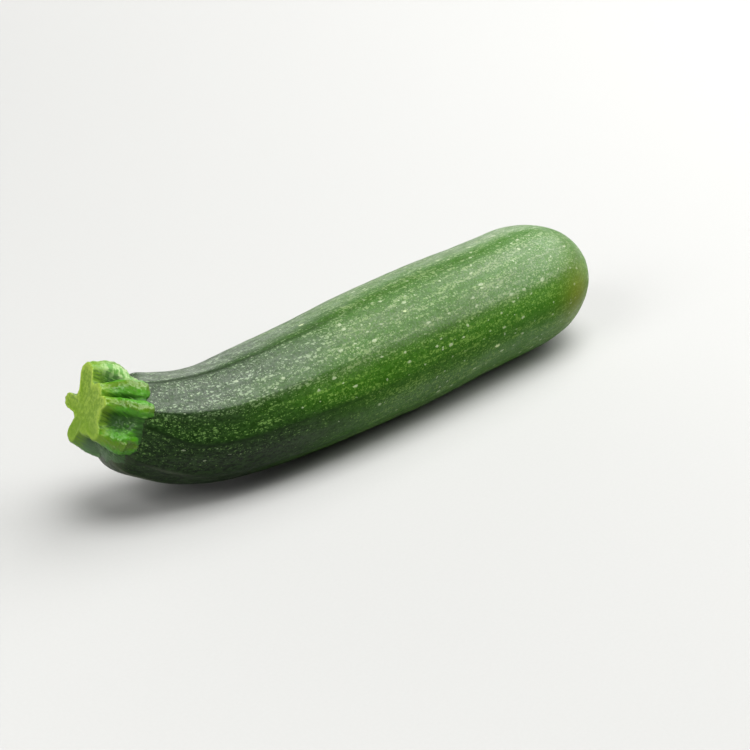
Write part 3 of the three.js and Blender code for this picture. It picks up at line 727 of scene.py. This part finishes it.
# How strongly each look shows: from least to most where there are two numbers.
SCUFF_SHARE, UNDER_REFLECTION_SHARE, GROWN_SHARE, BROWN_SHARE = 0.35, 0.6, 0.85, 0.7
TOP_GLINT_SHARE, BESIDE_SHARE, TOP_GLINT_ON_RIGHT, PALE_LEFT_IN_PAINTED_SHADE = (0.1, 0.6), (0.3, 0.9), 0.15, 0.3
# The crest's nearness, 0 to 1, and the fibres' noise times this unevenness are added up, and the colour
# steps from the furrows' green, darkened partly as painted shade, to the flanks' and on to the ridges' as
# the sum grows.
FIBRE_UNEVENNESS, FURROW_TO_FLANK, FLANK_TO_RIDGE = 0.7, (0.35, 0.75), (0.9, 1.4)
RIM_PALENESS = 0.2
FIBRE_DEPTH, FIBRE_STRENGTH, CREASE_HEIGHT = 0.16, 0.7, 1.5

stalk = bpy.data.materials.new("cut_green_zucchini_stalk")
stalk.use_nodes = True
bark = stalk.node_tree
surface = bark.nodes["Principled BSDF"]
place = add(bark, "Attribute", out="Vector", attribute_name="unbent")
crest, cut, from_rim = (
    add(bark, "Attribute", out="Fac", attribute_name=name) for name in ("crest", "cut", "from_rim")
)
fibres = streaks(bark, place, *STALK_FIBRES, 3.0)
patches = streaks(bark, place, *STALK_PATCHES)
uneven = add(bark, "Math", {0: fibres, 1: FIBRE_UNEVENNESS, 2: crest}, operation="MULTIPLY_ADD")
colour = blended(bark, ramp(bark, uneven, *FURROW_TO_FLANK), FURROW_GREEN_AND_SHADE, FLANK_GREEN)
colour = blended(bark, ramp(bark, uneven, *FLANK_TO_RIDGE), colour, RIDGE_GREEN)
scuffs = product(bark, ramp(bark, fibres, 0.55, 0.7), ramp(bark, patches, 0.45, 0.65))
colour = blended(bark, product(bark, scuffs, SCUFF_SHARE), colour, SCUFF_AND_GLINT_GREEN)

# The lobe on top has painted pale glints along its creases, and the underside has a painted grey reflection.
height = add(bark, "SeparateXYZ", {0: place}, out="Z")
creases = streaks(bark, place, *STALK_CREASES)
side = add(bark, "SeparateXYZ", {0: place}, out="Y")
# Painted glints: pale streaks on the lobe on top, weaker on its right.
painted_glints = product(bark, ramp(bark, height, *TOP_LOBE), ramp(bark, creases, 0.42, 0.62, *TOP_GLINT_SHARE))
painted_glints = product(bark, painted_glints, ramp(bark, side, *NOT_ON_RIGHT, TOP_GLINT_ON_RIGHT, 1.0))
colour = blended(bark, painted_glints, colour, SCUFF_AND_GLINT_GREEN)
# The underside's grey-green is a painted grey reflection.
below = ramp(bark, height, *UNDERNEATH)
colour = blended(bark, product(bark, below, UNDER_REFLECTION_SHARE), colour, UNDER_REFLECTION_GREEN)
past_joint = add(bark, "SeparateXYZ", {0: place})
grown_in = product(bark, ramp(bark, past_joint, *GROWN_PAST), ramp(bark, height, *GROWN_BELOW))
colour = blended(bark, product(bark, grown_in, GROWN_SHARE), colour, NECK_GREEN)

# The cut's colour runs a little way down the flanks. Its face is paler at its rim, and paler above and darker
# below as painted light and shade.
grain = add(bark, "TexNoise", {"Vector": place, "Scale": 0.8, "Detail": 4.0, "Roughness": 0.65})
beside_cut = product(bark, ramp(bark, from_rim, *BESIDE_CUT), ramp(bark, fibres, 0.3, 0.6, *BESIDE_SHARE))
colour = blended(bark, beside_cut, colour, CUT_GREEN)
near_rim = ramp(bark, from_rim, *PALE_RIM)
paler = add(bark, "Math", {0: near_rim, 1: RIM_PALENESS, 2: grain}, operation="MULTIPLY_ADD")
pale_and_lit_share = product(bark, ramp(bark, paler, 0.35, 0.8), ramp(bark, height, *PAINTED_LIGHT_UPWARDS, PALE_LEFT_IN_PAINTED_SHADE, 1.0))
cut_face = blended(bark, pale_and_lit_share, CUT_GREEN, CUT_PALE)
browned = product(bark, speckles(bark, place, *BROWN_SPOTS), ramp(bark, from_rim, *BROWN_RIM))
on_cut = ramp(bark, cut, 0.05, 0.9)
colour = blended(bark, on_cut, colour, cut_face)
colour = blended(bark, product(bark, browned, BROWN_SHARE), colour, CUT_BROWN)
bark.links.new(colour, surface.inputs["Base Color"])

smooth = ramp(bark, patches, 0.3, 0.7, *RIDGE_ROUGHNESS)
rough = add(bark, "Mix", {0: ramp(bark, crest, 0.2, 0.8), 2: FURROW_ROUGHNESS, 3: smooth})
rough = add(bark, "Mix", {0: on_cut, 2: rough, 3: CUT_ROUGHNESS})
bark.links.new(rough, surface.inputs["Roughness"])
surface.inputs["IOR"].default_value = STALK_IOR
surface.inputs["Coat Weight"].default_value = SAP_COAT
surface.inputs["Coat Roughness"].default_value = SAP_ROUGHNESS

# Fibres and grain stand out by about a tenth of a millimetre, and creases cross the ridges near the fruit.
by_toes = ramp(bark, past_joint, *CREASED_PAST)
creased = product(bark, product(bark, creases, crest), by_toes)
woven = add(bark, "Math", {0: fibres, 1: 1.0, 2: grain}, operation="MULTIPLY_ADD")
woven = add(bark, "Math", {0: creased, 1: CREASE_HEIGHT, 2: woven}, operation="MULTIPLY_ADD")
bump = add(bark, "Bump", {"Height": woven, "Distance": FIBRE_DEPTH * MM, "Strength": FIBRE_STRENGTH})
bark.links.new(bump, surface.inputs["Normal"])

stem.data.materials.append(stalk)
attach(stem, "root")
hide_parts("stem")

# The floor
# A plain sheet of matt pale card, wide enough that its edge is never in view.
FLOOR_HALF_WIDTH = 4000.0
FLOOR_GREY, FLOOR_PALER_GREY = "#b1b1af", "#b4b4b2"
CARD_GRAIN_PER_METRE, CARD_ROUGHNESS = 900.0, 0.85
corners = np.array([(-1, -1, 0), (1, -1, 0), (1, 1, 0), (-1, 1, 0)]) * FLOOR_HALF_WIDTH * MM
floor_mesh = bpy.data.meshes.new("floor")
floor_mesh.from_pydata(corners.tolist(), [], [(0, 1, 2, 3)])
floor = bpy.data.objects.new("floor", floor_mesh)
bpy.context.collection.objects.link(floor)
card = bpy.data.materials.new("matt_pale_card")
card.use_nodes = True
paper = card.node_tree
surface = paper.nodes["Principled BSDF"]
place = add(paper, "TexCoord", out="Object")
mottle = add(paper, "TexNoise", {"Vector": place, "Scale": CARD_GRAIN_PER_METRE, "Detail": 2.0})
mottled = blended(paper, mottle, FLOOR_GREY, FLOOR_PALER_GREY)
paper.links.new(mottled, surface.inputs["Base Color"])
surface.inputs["Roughness"].default_value = CARD_ROUGHNESS
floor.data.materials.append(card)

# The light
# A large soft box stands beyond the fruit on the right, with an even soft light overhead, a low strip
# behind the fruit that edges its far side, and a weaker one for the cut face. A dim grey room does the rest.
ROOM_GREY = 0.06
OVERHEAD_WAY, OVERHEAD_AWAY, OVERHEAD_ANGLE, OVERHEAD_STRENGTH = (0.05, -0.15, 1.0), 1000.0, 40.0, 1.9
# Each lamp's name, what it points at, which way and how far from there it stands, its size, and its watts.
LAMPS = [
    ("soft_box", (-30, -10, 25), (0.68, -0.12, 0.70), 1000, (1300, 1000), 13.0),
    ("back_strip", (0, 0, 40), (0.35, 0.9, 0.20), 1100, (1800, 300), 3.5),
    ("stem_fill", (-100, 0, 30), (-0.75, -0.15, 0.65), 800, (400, 400), 3.5),
]
for name, aim, way, away, (width, height), watts in LAMPS:
    lamp = bpy.data.lights.new(name, "AREA")
    lamp.shape = "RECTANGLE"
    lamp.size, lamp.size_y = width * MM, height * MM
    lamp.energy = watts
    holder = bpy.data.objects.new(name, lamp)
    holder.visible_camera = False
    stand(holder, np.array(aim) + away * np.array(way) / np.linalg.norm(way), aim)

overhead = bpy.data.lights.new("overhead", "SUN")
overhead.angle = math.radians(OVERHEAD_ANGLE)
overhead.energy = OVERHEAD_STRENGTH
stand(bpy.data.objects.new("overhead", overhead), OVERHEAD_AWAY * np.array(OVERHEAD_WAY), (0, 0, 0))

room = bpy.data.worlds.new("room")
room.use_nodes = True
room.node_tree.nodes["Background"].inputs["Color"].default_value = (1.0, 1.0, 1.0, 1.0)
room.node_tree.nodes["Background"].inputs["Strength"].default_value = ROOM_GREY
bpy.context.scene.world = room
